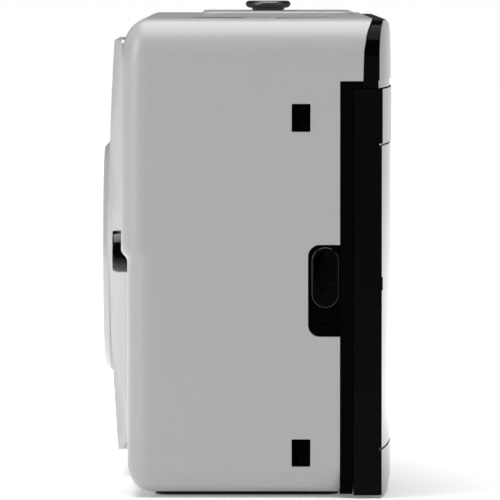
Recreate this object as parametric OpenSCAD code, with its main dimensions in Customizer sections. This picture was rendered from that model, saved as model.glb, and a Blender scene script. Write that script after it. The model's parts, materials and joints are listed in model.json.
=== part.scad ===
// Compact 35 mm film camera with a built-in flash.
// X runs across the case, +X to the photographer's left. The lens faces -Y. Z = 0 is the base.

/* [Case] */
// Width of the case, end to end
case_w = 114; // [113.5:0.1:114.5]
// Height of the shell's top face above the base
shell_top = 61.4; // [61.2:0.1:61.8]
// Wall thickness of the mouldings
wall = 1.5; // [1.4:0.05:1.6]
// How far the upper front face stands proud of the lower one
front_step = 0.8; // [0.5:0.1:1]

/* [Lens] */
// Outer diameter of the lens ring
ring_d = 31.5; // [30:0.5:32]
// Radius of the front element
lens_r = 5.4; // [5:0.1:5.6]

/* [Controls] */
// Diameter of the shutter button's head
button_d = 6.4; // [6:0.1:7]
// Height of the latch knob, end to end
knob_h = 7.9; // [7.5:0.1:8]
// Radius of the film advance wheel
wheel_r = 8.9; // [8.8:0.1:9]

/* [Hidden] */
$fn = 48;
eps = 0.01;
far = 60;                        // past every face, for cuts and open ends
gap = 0.15;                      // clearance between pieces that don't touch

// Case planes
half_w = case_w / 2;
front_lower = -14.95;            // lower front face
front_upper = front_lower - front_step;
step_lo = 30.2;                  // foot of the sloped step across the front
shell_base = 0.6;                // underside of the shell, above the base plate
shell_rear = 12.34;              // rear edge of the shell below the rear cover
rim_rear = 14.0;                 // rear face of the chassis rim, where the door starts
door_front = 14.1;
door_rear = 19.3;                // rear face at the middle of its crown
door_in = 17.3;                  // inner face
door_end = 17.7;                 // rear edge of the end by the latch
door_lo = 0.3;
door_hi = 52.4;
door_t = 1.6;
door_x0 = -52.0;
crown_run = 26;                  // length over which the rear face curves forward to each end
cover_end = 17.4;
deck_lo = 51.9;                  // chassis top deck
deck_hi = 53.4;
floor_lo = 3.2;                  // chassis bottom deck
floor_hi = 4.2;
cover_lo = 53.5;                 // rear top cover
cover_hi = 61.2;
plan_r = 3.3;                    // edge radii: vertical front edges,
top_r = 3.6;                     // front top edge,
base_r = 3.0;                    // front bottom edge,
end_top_r = 5.0;                 // top edges of the two ends,
end_base_r = 3.4;                // bottom edges of the two ends

// Film path
film_z = 28.5;                   // centre of the frame and of the lens
film_y = 13.0;                   // film plane, on the rails
frame_rear = 12.6;               // rear face of the back frame
frame_w = 36;
frame_h = 24;
cassette_x = 40;
chamber_y = 2.1;
chamber_r = 13.2;
chamber_t = 1.2;
spool_x = -43;
spool_chamber_r = 11.2;
spool_core_r = 4.8;
sprocket_x = -28;
sprocket_r = 6.05;
sprocket_y = film_y - sprocket_r;
sprocket_teeth = 8;

// Door hinge
hinge_x = -54.6;
hinge_y = 16.4;
knuckle_r = 2.2;
pin_r = 0.8;
knuckle_lo = 8;
knuckle_hi = 44;

// Latch
tongue_zs = [12, 38];            // the door's catch tongues
latch_y = 10.47;                 // centre line of the knob
latch_w = 3.67;
plate_lo = 20.7;
plate_hi = 32.4;
plate_front = 8.3;
plate_face = half_w - 0.5;
knob_top = 32.2;

// Shutter release
button_x = -34;
button_y = 3.4;
pad_top = 61.8;
well_r = 4.3;
well_floor = 60.8;
head_lo = 62.2;
head_hi = 63.2;
stem_r = 1.4;
bar_lo = 55.0;
bar_hi = 55.8;

// Film advance
wheel_y = 10.1;
wheel_lo = 55.6;
wheel_hi = 59.0;
gear_m = 0.5;
wheel_teeth = 14;
spool_teeth = 18;
gear_lo = 53.7;
gear_hi = 55.2;

// Frame counter
dial_x = -21;
dial_y = 2.9;
dial_r = 5.9;
counter_y = dial_y + 3.9;

// Rewind crank
crank_r = 9.0;
cup_r = 9.3;
cup_floor = 58.6;
crank_pivot_x = cassette_x - 6.4;
crank_z = 60.75;

// Battery
battery_x = 22.2;
battery_y = -6.6;
battery_r = 5.2;
battery_lo = 3.4;
battery_hi = 47.4;
bdoor_pin_y = -2.0;
bdoor_pin_z = 1.2;

// Front openings
flash_x = 36;
flash_z = 55.1;
flash_w = 22;
flash_h = 7.2;
finder_x = 7;
finder_z = 53.0;
finder_w = 13;
finder_h = 7;
eye_z = 56.6;
flash_button_x = 30;
flash_button_z = 30.4;
flash_button_r = 2.8;
panel_rear_r = 365;              // vertical crown of the lens panel
panel_front = -18.1;
panel_w = 48;
blade_x = -4.2;                  // pivot of the shutter blade
blade_z = 41.5;

// Windows in the ends that the chassis snap hooks look through
window_y = [6.15, 8.56];
window_zs = [[3.95, 7.5], [46.9, 50.5]];

screw_xy = [[-49, -7.5], [49, -7.5], [-49, 8.5], [49, 8.5]];

// ---- Helpers: extrude a flat shape along an axis, between two planes
module along_x(x0, x1) { translate([x0, 0, 0]) rotate([90, 0, 90]) linear_extrude(x1 - x0) children(); }
module along_y(y0, y1) { translate([0, y1, 0]) rotate([90, 0, 0]) linear_extrude(y1 - y0) children(); }
module along_z(z0, z1) { translate([0, 0, z0]) linear_extrude(z1 - z0) children(); }
module rod_x(x0, x1, y, z, r) { translate([x0, y, z]) rotate([0, 90, 0]) cylinder(r = r, h = x1 - x0); }
module rod_y(x, y0, y1, z, r) { translate([x, y1, z]) rotate([90, 0, 0]) cylinder(r = r, h = y1 - y0); }
module rod_z(x, y, z0, z1, r) { translate([x, y, z0]) cylinder(r = r, h = z1 - z0); }
module block(lo, hi) { translate(lo) cube(hi - lo); }

// Rounded rectangle from lo to hi
module rounded(lo, hi, r) {
    translate([lo[0] + r, lo[1]]) square([hi[0] - lo[0] - 2 * r, hi[1] - lo[1]]);
    translate([lo[0], lo[1] + r]) square([hi[0] - lo[0], hi[1] - lo[1] - 2 * r]);
    for (x = [lo[0] + r, hi[0] - r], y = [lo[1] + r, hi[1] - r]) translate([x, y]) circle(r);
}

// Rectangle from lo to hi whose two low-u corners have their own radii (top and base)
module rounded_front(lo, hi, r_top, r_base) {
    big = max(r_top, r_base);
    translate([lo[0] + big, lo[1]]) square([hi[0] - lo[0] - big, hi[1] - lo[1]]);
    translate([lo[0], lo[1] + r_base]) square([hi[0] - lo[0], hi[1] - lo[1] - r_top - r_base]);
    translate([lo[0] + r_base, lo[1]]) square([big, hi[1] - lo[1] - r_top]);
    translate([lo[0] + r_top, hi[1] - r_top]) circle(r_top);
    translate([lo[0] + r_base, lo[1] + r_base]) circle(r_base);
}

// Plan of a rear face: flat in the middle, curving forward by drop0 and drop1 at its two ends
module crowned(x0, x1, rear, drop0, drop1) {
    r0 = (crown_run * crown_run + drop0 * drop0) / (2 * drop0);
    r1 = (crown_run * crown_run + drop1 * drop1) / (2 * drop1);
    intersection() {
        translate([x0, -30]) square([x1 - x0, 30 + rear]);
        union() {
            translate([x0 + crown_run, -30]) square([x1 - x0 - 2 * crown_run, 30 + rear]);
            translate([x0 + crown_run, rear - r0]) circle(r0, $fn = 360);
            translate([x1 - crown_run, rear - r1]) circle(r1, $fn = 360);
        }
    }
}

// Coil spring standing on z0, as one swept tube
module coil(x, y, z0, z1, r, wire, turns) {
    steps = 14 * turns;
    sides = 8;
    function ring(i) = let (a = 360 * turns * i / steps, z = z0 + wire + (z1 - z0 - 2 * wire) * i / steps)
        [for (j = [0:sides - 1]) let (b = 360 * j / sides)
            [x + (r + wire * cos(b)) * cos(a), y + (r + wire * cos(b)) * sin(a), z + wire * sin(b)]];
    points = [for (i = [0:steps]) each ring(i)];
    skin = [for (i = [0:steps - 1], j = [0:sides - 1]) let (k = (j + 1) % sides)
        each [[i * sides + j, i * sides + k, (i + 1) * sides + k],
              [i * sides + j, (i + 1) * sides + k, (i + 1) * sides + j]]];
    caps = [[for (j = [sides - 1:-1:0]) j], [for (j = [0:sides - 1]) steps * sides + j]];
    polyhedron(points, concat(skin, caps), convexity = 10);
}

// Spur gear outline with slim trapezoid teeth, one of them centred on angle at
module gear(teeth, at) {
    pitch = gear_m * teeth / 2;
    root = pitch - 1.2 * gear_m;
    tip = pitch + 0.8 * gear_m;
    step = 360 / teeth;
    polygon([for (i = [0:teeth - 1]) let (a = at + i * step)
        each [[root * cos(a - 0.30 * step), root * sin(a - 0.30 * step)],
              [tip * cos(a - 0.12 * step), tip * sin(a - 0.12 * step)],
              [tip * cos(a + 0.12 * step), tip * sin(a + 0.12 * step)],
              [root * cos(a + 0.30 * step), root * sin(a + 0.30 * step)]]]);
}

// ---- Case
// The shell's outer form with its front at front_y, shrunk by inset on every side
module case_form(front_y, inset) {
    intersection() {
        along_z(shell_base + inset, shell_top - inset)
            rounded([-half_w + inset, front_y + inset], [half_w - inset, far], plan_r - inset);
        along_x(-half_w + inset, half_w - inset)
            rounded_front([front_y + inset, shell_base + inset], [far, shell_top - inset], top_r - inset,
                          base_r - inset);
        along_y(front_y, far) rotate(-90)
            rounded_ends(inset);
    }
}

// Front view outline of the case, lying on its side: the two top corners are rounder than the base ones
module rounded_ends(inset) {
    rotate(90) {
        lo = shell_base + inset;
        hi = shell_top - inset;
        w = half_w - inset;
        rt = end_top_r - inset;
        rb = end_base_r - inset;
        translate([-w + rt, lo]) square([2 * (w - rt), hi - lo]);
        translate([-w, lo + rb]) square([2 * w, hi - lo - rb - rt]);
        translate([-w + rb, lo]) square([2 * (w - rb), hi - lo - rt]);
        for (s = [-1, 1]) {
            translate([s * (w - rt), hi - rt]) circle(rt);
            translate([s * (w - rb), lo + rb]) circle(rb);
        }
    }
}

// Lower front face and, above the sloped step, the prouder upper one
module case_solid(inset) {
    case_form(front_lower, inset);
    intersection() {
        case_form(front_upper, inset);
        along_x(-half_w, half_w)
            polygon([[front_lower - 5, step_lo + 10], [front_lower + inset, step_lo - 2 * inset],
                     [far, step_lo - 2 * inset], [far, far + 20], [front_lower - 5, far + 20]]);
    }
}

// Side outline of everything in front of the rear cover and the chassis rim
module shell_side() {
    polygon([[-25, -5], [shell_rear, -5], [shell_rear, deck_hi], [15.3, deck_hi], [15.4, 57.2],
             [15.8, 59.6], [16.5, shell_top], [16.7, shell_top + 5], [-25, shell_top + 5]]);
}

module latch_plate_outline(grow) {
    rounded([plate_front - grow, plate_lo - grow], [rim_rear, plate_hi + grow], 1.5);
}

module front_shell() color([0.68, 0.68, 0.68]) {
    difference() {
        union() {
            intersection() {
                difference() {
                    case_solid(0);
                    difference() {
                        case_solid(wall);
                        // cup that the rewind crank folds into
                        rod_z(cassette_x, chamber_y, cup_floor - 1.2, shell_top, cup_r + 1.2);
                        // pocket behind the strap bar
                        block([-far, -13.2, 41.4], [-53, -5.4, 51.6]);
                    }
                }
                along_x(-half_w, half_w) shell_side();
            }
            // raised pad round the shutter button
            along_z(shell_top - 0.5, pad_top) rounded([-51.5, -5.9], [-11.5, 15.2], 2);
        }
        rod_z(cassette_x, chamber_y, cup_floor, far + 10, cup_r);
        rod_z(cassette_x, chamber_y, cup_floor - 5, far + 10, 2.2);
        block([-far, -12.2, 42.4], [-54, -6.4, 50.6]);
        rod_z(-55.9, -9.3, 41.8, 51.2, 0.82);
        // ends: snap windows and the notch for the latch plate
        for (s = [-1, 1], z = window_zs)
            block([s * half_w - 3, window_y[0], z[0]], [s * half_w + 3, window_y[1], z[1]]);
        along_x(half_w - 3, half_w + 3) latch_plate_outline(0.05);
        // front: lens, flash, viewfinder and flash button
        rod_y(0, -25, 0, film_z, ring_d / 2 + 0.1);
        along_y(-25, 0) rounded([flash_x - flash_w / 2, flash_z - flash_h / 2],
                                [flash_x + flash_w / 2, flash_z + flash_h / 2], 0.6);
        along_y(-25, 0) rounded([finder_x - finder_w / 2, finder_z - finder_h / 2],
                                [finder_x + finder_w / 2, finder_z + finder_h / 2], 0.6);
        rod_y(flash_button_x, -25, 0, flash_button_z, flash_button_r + 0.12);
        // top: shutter button and frame counter
        rod_z(button_x, button_y, well_floor, far + 10, well_r);
        rod_z(button_x, button_y, 50, far + 10, stem_r + 0.12);
        along_z(50, far + 10) rounded([dial_x - 2.6, counter_y - 1.9], [dial_x + 2.6, counter_y + 1.9], 0.5);
        // base: battery door, tripod socket, rewind release and screws
        battery_opening(3);
        rod_z(0, 4, -1, 3, 5.1, $fn = 12);
        rod_z(sprocket_x, sprocket_y, -1, 3, 2.15);
        for (p = screw_xy) rod_z(p[0], p[1], -1, 3, 0.95);
        rod_x(battery_x - 7.3, battery_x + 7.3, bdoor_pin_y, bdoor_pin_z, 0.5);
    }
}

module battery_opening(hi) {
    block([battery_x - 6, -12.0, -1], [battery_x + 6, -0.9, hi]);
}

module bottom_plate() color([0.05, 0.05, 0.05]) {
    difference() {
        along_z(0, shell_base) rounded([-52, -11.4], [52, shell_rear - 0.1], 2);
        battery_opening(3);
        rod_z(0, 4, -1, 3, 4.9);
        rod_z(sprocket_x, sprocket_y, -1, 3, 2.15);
        for (p = screw_xy)
            translate([p[0], p[1], -eps]) cylinder(r1 = 1.75, r2 = 0.95, h = shell_base + 2 * eps);
    }
}

// ---- Lens and shutter
module lens_panel() color([0.72, 0.72, 0.72]) {
    difference() {
        intersection() {
            along_z(3.4, 58.2)
                polygon([[-panel_w / 2, 0], [-panel_w / 2, front_lower], [-18, panel_front - 0.2],
                         [18, panel_front - 0.2], [panel_w / 2, front_lower], [panel_w / 2, 0]]);
            translate([0, panel_front + panel_rear_r, 34]) rotate([0, 90, 0])
                cylinder(r = panel_rear_r, h = 60, center = true, $fn = 720);
            along_x(-30, 30) rounded([-25, 3.4], [10, 58.2], 3.0);
            along_y(-25, 0) rounded([-panel_w / 2, 3.4], [panel_w / 2, 58.2], 4);
        }
        // seat on the stepped front of the shell
        along_x(-30, 30)
            polygon([[front_lower, -5], [front_lower, step_lo], [front_upper, step_lo + 2 * front_step],
                     [front_upper, far + 5], [10, far + 5], [10, -5]]);
        rod_y(0, -25, 0, film_z, ring_d / 2 + 0.1);
        along_y(-25, 0) rounded([finder_x - finder_w / 2, finder_z - finder_h / 2],
                                [finder_x + finder_w / 2, finder_z + finder_h / 2], 0.6);
    }
}

// A solid of revolution about the lens axis: points are [radius, y]
module on_axis() { translate([0, 0, film_z]) rotate([-90, 0, 0]) rotate_extrude($fn = 96) children(); }

module lens_ring() color([0.70, 0.70, 0.70])
    on_axis() polygon([[10.6, -18.4], [11.2, -19.0], [ring_d / 2 - 0.8, -19.0], [ring_d / 2, -18.2],
                       [ring_d / 2, -14.0], [10.6, -14.0]]);

module lens_bezel() color([0.05, 0.05, 0.05])
    on_axis() polygon([[5.9, -16.9], [6.3, -17.1], [10.1, -18.5], [10.5, -18.5], [10.5, -14.2], [7.3, -14.2],
                       [7.3, -16.0], [5.9, -16.0]]);

module lens_barrel() color([0.08, 0.08, 0.08])
    on_axis() polygon([[lens_r + 0.05, -15.9], [7.1, -15.9], [7.1, -14.1], [9.0, -14.1], [9.0, -13.2],
                       [6.6, -13.2], [6.6, -11.9], [4.2, -11.9], [4.2, -14.0], [lens_r + 0.05, -14.0]]);

// Lens element: two spherical faces, bulge towards -Y in front and towards +Y behind
module element(r, y0, y1, bulge0, bulge1) {
    r0 = (r * r + bulge0 * bulge0) / (2 * bulge0);
    r1 = (r * r + bulge1 * bulge1) / (2 * bulge1);
    on_axis() intersection() {
        translate([0, y0 - bulge0]) square([r, y1 - y0 + bulge0 + bulge1]);
        translate([0, y0 - bulge0 + r0]) circle(r0, $fn = 360);
        translate([0, y1 + bulge1 - r1]) circle(r1, $fn = 360);
    }
}

module front_lens() color([0.8, 0.9, 0.95, 0.5]) element(lens_r, -15.8, -14.9, 1.0, 0.4);
module rear_lens() color([0.8, 0.9, 0.95, 0.5]) element(4.1, -13.6, -12.6, 0.3, 0.6);

module aperture_stop() color([0.03, 0.03, 0.03])
    on_axis() polygon([[1.4, -14.3], [1.9, -14.45], [4.6, -14.45], [4.6, -14.1], [1.4, -14.1]]);

module shutter_plate() color([0.25, 0.25, 0.26]) {
    difference() {
        along_y(-11.0, -9.9) rounded([-14, film_z - 14], [14, film_z + 16], 1);
        rod_y(0, -12, -9, film_z, 3.2);
    }
    rod_y(blade_x, -11.85, -11.0, blade_z, 0.6);   // blade pivot
    rod_y(5.0, -11.6, -11.0, film_z - 3.2, 0.5);   // blade stop
}

// The blade hangs from its pivot over the lens and its short arm reaches under the release bar
module shutter_blade() color([0.12, 0.12, 0.12]) {
    difference() {
        along_y(-11.55, -11.3) {
            translate([blade_x, blade_z]) circle(1.1);
            translate([0, film_z]) circle(4.4);
            translate([blade_x, blade_z]) rotate(atan2(film_z - blade_z, -blade_x))
                translate([0, -1.1]) square([11, 2.2]);
            translate([blade_x, blade_z - 0.5]) square([2.0, 1]);
        }
        rod_y(blade_x, -13, -10, blade_z, 0.64);
    }
}

module sync_contacts() color([0.75, 0.58, 0.25])
    for (x = [-11.2, -9.8]) {
        block([x, -12.0, film_z - 13], [x + 0.2, -11.3, film_z - 4.5]);
        block([x - 0.4, -11.3, film_z - 13], [x + 0.6, -11.0, film_z - 11]);
    }

// ---- Viewfinder and flash
module viewfinder_window() color([0.85, 0.92, 0.95, 0.4])
    along_y(-17.45, -16.3) rounded([finder_x - finder_w / 2 + 0.1, finder_z - finder_h / 2 + 0.1],
                                  [finder_x + finder_w / 2 - 0.1, finder_z + finder_h / 2 - 0.1], 0.5);

module viewfinder_tube() color([0.05, 0.05, 0.05]) difference() {
    union() {
        block([finder_x - 7.2, -14.1, finder_z - 4.2], [finder_x + 7.2, -12.4, finder_z + 4.2]);
        block([finder_x - 6.2, -12.4, deck_hi + 0.1], [finder_x + 6.2, 14.9, deck_hi + 6.1]);
    }
    block([finder_x - 6.2, -15, finder_z - 3.2], [finder_x + 6.2, -13.2, finder_z + 3.2]);
    block([finder_x - 5.2, -14, deck_hi + 1.1], [finder_x + 5.2, 16, finder_z + 3.2]);
    block([finder_x - 5.2, -12.4, deck_hi + 1.1], [finder_x + 5.2, 16, deck_hi + 5.1]);
}

module eyepiece_lens() color([0.85, 0.92, 0.95, 0.4])
    along_y(16.4, 17.4) rounded([finder_x - 4.9, eye_z - 2.6], [finder_x + 4.9, eye_z + 2.6], 0.5);

module flash_window() color([0.9, 0.93, 0.96, 0.5]) {
    difference() {
        along_y(front_upper, front_upper + 1.3)
            rounded([flash_x - flash_w / 2 + 0.1, flash_z - flash_h / 2 + 0.1],
                    [flash_x + flash_w / 2 - 0.1, flash_z + flash_h / 2 - 0.1], 0.5);
        // vertical diffuser ribs on the inside
        for (i = [0:12]) translate([flash_x - 9.6 + 1.6 * i, front_upper + 1.3, 0])
            rotate(45) block([-0.35, -0.35, flash_z - 3], [0.35, 0.35, flash_z + 3]);
    }
}

// Side outline of the reflector's dish, its mouth at y0, deep and half high
module dish(y0, deep, half) {
    n = 8;
    edge = [for (i = [0:n]) [y0 + deep * i / n, half * sqrt(1 - i / n)]];
    translate([0, flash_z]) polygon(concat(edge, [for (i = [n:-1:0]) [edge[i][0], -edge[i][1]]]));
}

module flash_reflector() color([0.9, 0.9, 0.9]) difference() {
    along_x(flash_x - 10.4, flash_x + 10.4) dish(-14.2, 3.1, 3.4);
    along_x(flash_x - 10, flash_x + 10) dish(-14.2 - eps, 2.75, 3.05);
}

module flash_tube() color([0.85, 0.9, 0.95, 0.6])
    rod_x(flash_x - 9.4, flash_x + 9.4, -12.9, flash_z, 1.0);

module flash_board() color([0.55, 0.42, 0.2]) {
    difference() {
        block([-51, -12.6, 8], [-28, -11.4, 49]);
        for (z = [12, 45]) rod_y(-30.5, -13, -11, z, 0.9);
    }
    for (i = [0:3]) block([-48 + 4.6 * i, -13.2, 12 + 7 * i], [-45.6 + 4.6 * i, -12.6, 14 + 7 * i]);
}

module flash_capacitor() color([0.1, 0.12, 0.3]) {
    rod_z(-22.5, -7.5, 6.5, 36, 4.5);
    for (dy = [-1.5, 1.5]) rod_z(-22.5, -7.5 + dy, 36, 38.5, 0.3);
}

module flash_transformer() color([0.7, 0.55, 0.2]) {
    block([-26.5, -11.4, 40], [-18.5, -3.4, 41.4]);
    block([-26.5, -11.4, 47.6], [-18.5, -3.4, 49]);
    rod_z(-22.5, -7.4, 41.4, 47.6, 3.6);
}

module flash_button() color([0.03, 0.03, 0.03]) {
    translate([flash_button_x, 0, flash_button_z]) rotate([-90, 0, 0]) rotate_extrude($fn = 48) {
        intersection() {
            translate([0, -16.55]) circle(flash_button_r);
            translate([0, -17.35]) square([flash_button_r, 4.75]);
        }
        translate([0, -16.5]) square([flash_button_r, 3.9]);
        translate([0, -13.2]) square([flash_button_r + 0.6, 0.6]);
    }
}

module ready_lamp() color([0.9, 0.35, 0.05]) rod_y(finder_x + 8.4, 16.6, 18.8, eye_z, 1.1);

module battery() color([0.2, 0.2, 0.22]) {
    rod_z(battery_x, battery_y, battery_lo, battery_hi - 1.2, battery_r);
    rod_z(battery_x, battery_y, battery_hi - 1.2, battery_hi, 1.9);
}

module battery_contact() color([0.8, 0.8, 0.78]) {
    block([battery_x - 4, battery_y - 4, battery_hi], [battery_x + 4, battery_y + 4, battery_hi + 0.4]);
    block([battery_x - 1.5, battery_y + 3.6, battery_hi + 0.4],
          [battery_x + 1.5, battery_y + 4, deck_lo - gap]);
}

module battery_spring() color([0.8, 0.8, 0.78])
    coil(battery_x, battery_y, 1.97, battery_lo - 0.02, 2.6, 0.2, 2);

module battery_door() color([0.05, 0.05, 0.05]) {
    difference() {
        union() {
            along_z(gap, 1.95) rounded([battery_x - 5.85, -11.85], [battery_x + 5.85, bdoor_pin_y], 0.6);
            rod_x(battery_x - 5.85, battery_x + 5.85, bdoor_pin_y, bdoor_pin_z, 0.95);
        }
        rod_x(battery_x - 7, battery_x + 7, bdoor_pin_y, bdoor_pin_z, 0.5);
        // finger groove
        for (i = [0:2]) rod_x(battery_x - 3.5, battery_x + 3.5, -10.2 + i * 1.3, 0, 0.38);
    }
}

module battery_door_pin() color([0.75, 0.75, 0.75])
    rod_x(battery_x - 7.2, battery_x + 7.2, bdoor_pin_y, bdoor_pin_z, 0.45);

// ---- Chassis
module rim_outline(grow) {
    w = half_w + grow;
    r = 2.0;
    translate([0, (door_lo + deck_hi) / 2]) {
        h = (deck_hi - door_lo) / 2 + grow;
        square([2 * (w - r), 2 * h], center = true);
        translate([0, r / 2]) square([2 * w, 2 * h - r], center = true);
        for (s = [-1, 1]) translate([s * (w - r), -h + r]) circle(r);
    }
}

// Chambers for the cassette, the take-up spool and the sprocket, grown by t
module chambers(z0, z1, t) {
    rod_z(cassette_x, chamber_y, z0, z1, chamber_r + t);
    rod_z(spool_x, chamber_y, z0, z1, spool_chamber_r + t);
    rod_z(sprocket_x, sprocket_y, z0, z1, sprocket_r + 1.2 + t);
}

module rear_body() color([0.06, 0.06, 0.06]) {
    difference() {
        union() {
            // rim that shows between the shell and the door
            difference() {
                along_y(shell_rear, rim_rear) rim_outline();
                along_y(0, far) rounded([-half_w + 2.4, door_lo + 2.2], [half_w - 2.4, door_hi - 1.6], 1);
            }
            block([-half_w, shell_rear, door_hi + 0.1], [half_w, 15.2, deck_hi]);
            // back frame, inside the shell
            block([-54.4, 11.2, floor_lo], [54.4, frame_rear, deck_hi]);
            // film rails
            for (z = [film_z - 14.2, film_z + 13.2]) block([-20, frame_rear - 0.1, z], [24, film_y, z + 1]);
            // decks
            block([-54.4, -11.4, deck_lo], [54.4, shell_rear, deck_hi]);
            block([-54.4, -11.4, floor_lo], [54.4, shell_rear, floor_hi]);
            intersection() {
                chambers(floor_lo, deck_lo + 1, chamber_t);
                block([-far, -far, 0], [far, frame_rear, far]);
            }
            latch_plate();
            snap_hooks();
            hinge_lugs();
        }
        // chambers, open at the back
        chambers(floor_hi, deck_lo, 0);
        block([cassette_x - chamber_r, chamber_y, floor_hi], [cassette_x + chamber_r, far, deck_lo]);
        block([spool_x - spool_chamber_r, sprocket_y, floor_hi], [sprocket_x + 7.4, far, deck_lo]);
        // film gate
        block([-frame_w / 2, 0, film_z - frame_h / 2], [frame_w / 2, 20, film_z + frame_h / 2]);
        // shafts through the decks
        rod_z(spool_x, chamber_y, deck_lo - 1, deck_hi + 1, 1.9);
        rod_z(sprocket_x, sprocket_y, deck_lo - 1, deck_hi + 1, 1.3);
        rod_z(spool_x, wheel_y, deck_lo, deck_hi + 1, 1.3);
        rod_z(dial_x, dial_y, deck_lo, deck_hi + 1, 0.9);
        rod_z(cassette_x, chamber_y, deck_lo - 1, deck_hi + 1, 2.2);
        rod_z(spool_x, chamber_y, floor_lo - 1, floor_hi + 1, 1.6);
        rod_z(sprocket_x, sprocket_y, floor_lo - 1, floor_hi + 1, 3.0);
        // battery, tripod socket and screws through the bottom deck
        rod_z(battery_x, battery_y, 0, 10, battery_r + 0.15);
        rod_z(0, 4, 0, 8.2, 5.1, $fn = 12);
        for (p = screw_xy) rod_z(p[0], p[1], 0, 4.4, 0.85);
        // slots for the latch knob's stem, the latch bar and the door's tongues
        block([50, latch_y - 0.9, 22.2], [60, latch_y + 0.9, 30.2]);
        block([53.5, 8.3, 8], [55.4, 12.1, 46]);
        for (z = tongue_zs) block([51.6, 10, z - 0.5], [53.6, rim_rear + 1, z + 4.5]);
        // hinge pin, and grooves for the light seals
        rod_z(hinge_x, hinge_y, -1, door_hi + 1, pin_r + 0.02);
        for (z = [[2.9, 4.1], [50.6, 51.8]]) block([-50, 12.0, z[0]], [50, 20, z[1]]);
    }
}

// Stepped box that keeps stray light off the film, from the shutter plate to the back frame
module light_box() color([0.05, 0.05, 0.05]) {
    difference() {
        union() {
            block([-19.95, -1.5, film_z - 13.95], [19.95, 11.2, film_z + 13.95]);
            block([-15.2, -9.8, film_z - 10.7], [15.2, -1.4, film_z + 10.7]);
        }
        block([-18.75, -0.3, film_z - 12.75], [18.75, 12, film_z + 12.75]);
        block([-14, -20, film_z - 9.5], [14, 0, film_z + 9.5]);
        chambers(0, far, chamber_t + gap);
        // grooves that break up reflections off the floor and the roof
        for (s = [-1, 1], i = [0:4]) translate([0, 1.5 + 1.9 * i, film_z + s * 12.75]) rotate([45, 0, 0])
            block([-17, -0.35, -0.35], [17, 0.35, 0.35]);
    }
}

// Rear view outline of the rim, rounded at its two bottom corners
module rim_outline() {
    r = 2;
    translate([-half_w + r, door_lo]) square([case_w - 2 * r, deck_hi - door_lo]);
    translate([-half_w, door_lo + r]) square([case_w, deck_hi - door_lo - r]);
    for (s = [-1, 1]) translate([s * (half_w - r), door_lo + r]) circle(r);
}

module latch_plate() along_x(55.4, plate_face) latch_plate_outline(0);

// Tongues that snap into the shell's end windows
module snap_hooks() for (s = [-1, 1], z = window_zs) {
    block([min(s * 53.2, s * 55.3), 5.0, z[0] - 0.6], [max(s * 53.2, s * 55.3), 12, z[1] + 0.6]);
    block([min(s * 55.2, s * 56.2), 7.0, z[0] + 0.3], [max(s * 55.2, s * 56.2), 8.4, z[0] + 1.3]);
    block([min(s * 55.2, s * 56.2), 7.0, z[1] - 1.3], [max(s * 55.2, s * 56.2), 8.4, z[1] - 0.3]);
}

module hinge_lugs() for (z = [[door_lo + 0.3, knuckle_lo - 0.2], [knuckle_hi + 0.2, door_hi - 0.1]]) {
    rod_z(hinge_x, hinge_y, z[0], z[1], knuckle_r);
    block([hinge_x - knuckle_r, rim_rear - 0.5, z[0]], [hinge_x + 1.0, hinge_y, z[1]]);
}

module rear_top_cover() color([0.04, 0.04, 0.04]) {
    difference() {
        intersection() {
            along_x(-half_w, half_w)
                polygon([[15.4, cover_lo], [15.5, 57.2], [15.9, 59.6], [16.5, cover_hi], [18.4, cover_hi],
                         [18.9, 60.6], [19.1, 59.2], [19.2, 57], [19.3, 55], [19.35, cover_lo]]);
            along_z(50, 70) crowned(-half_w, half_w, 19.35, 19.35 - cover_end, 19.35 - cover_end);
            along_y(-30, 30) rounded([-half_w, -30], [half_w, cover_hi], 4.6);
        }
        // hollow behind, with a back wall
        intersection() {
            block([-53.6, 10, cover_lo - 1], [53.6, 17.3, 59.7]);
            along_x(-55, 55)
                polygon([[10, 50], [17.3, 50], [17.2, 57], [16.9, 58.8], [16.5, 59.7], [10, 59.7]]);
        }
        // eyepiece and lamp
        along_y(10, 30) rounded([finder_x - 5, eye_z - 2.7], [finder_x + 5, eye_z + 2.7], 0.6);
        rod_y(finder_x + 8.4, 10, 30, eye_z, 1.15);
        // thumb scoop and the slot that the wheel turns in
        along_z(wheel_lo - 1.2, wheel_hi + 1.0) translate([spool_x, 30]) circle(12.2);
        rod_z(spool_x, wheel_y, wheel_lo - gap, wheel_hi + gap, wheel_r + gap);
    }
    // frame round the eyepiece
    difference() {
        along_y(17.4, 19.4) rounded([finder_x - 6.4, eye_z - 3.0], [finder_x + 6.4, eye_z + 3.0], 1.2);
        along_y(10, 30) rounded([finder_x - 4.7, eye_z - 2.4], [finder_x + 4.7, eye_z + 2.4], 0.6);
    }
}

module tripod_socket() color([0.75, 0.6, 0.3]) difference() {
    rod_z(0, 4, 0.05, 8.0, 4.8);
    rod_z(0, 4, -1, 7.0, 3.175);
}

module case_screws() color([0.75, 0.75, 0.76]) for (p = screw_xy) difference() {
    union() {
        translate([p[0], p[1], 0.05]) cylinder(r1 = 1.6, r2 = 0.8, h = shell_base - 0.05);
        rod_z(p[0], p[1], 0.3, 4.3, 0.8);
    }
    for (a = [0, 90]) translate([p[0], p[1], 0]) rotate(a) block([-0.9, -0.18, -1], [0.9, 0.18, 0.4]);
}

module strap_bar() color([0.75, 0.75, 0.76]) rod_z(-55.9, -9.3, 41.9, 51.1, 0.8);

module light_seals() color([0.1, 0.1, 0.1])
    for (z = [[3.0, 4.0], [50.7, 51.7]]) block([-49.8, 12.1, z[0]], [49.8, 13.6, z[1]]);

// ---- Film door
// Height bands of the door's rear face: [from, to, how far it stands proud]
door_bands = [[door_lo, 6.1, 0], [6.0, 6.5, -0.35], [6.4, 45.1, 0],
              [45.0, 45.5, -0.35], [45.4, door_hi, 0.1]];

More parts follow.
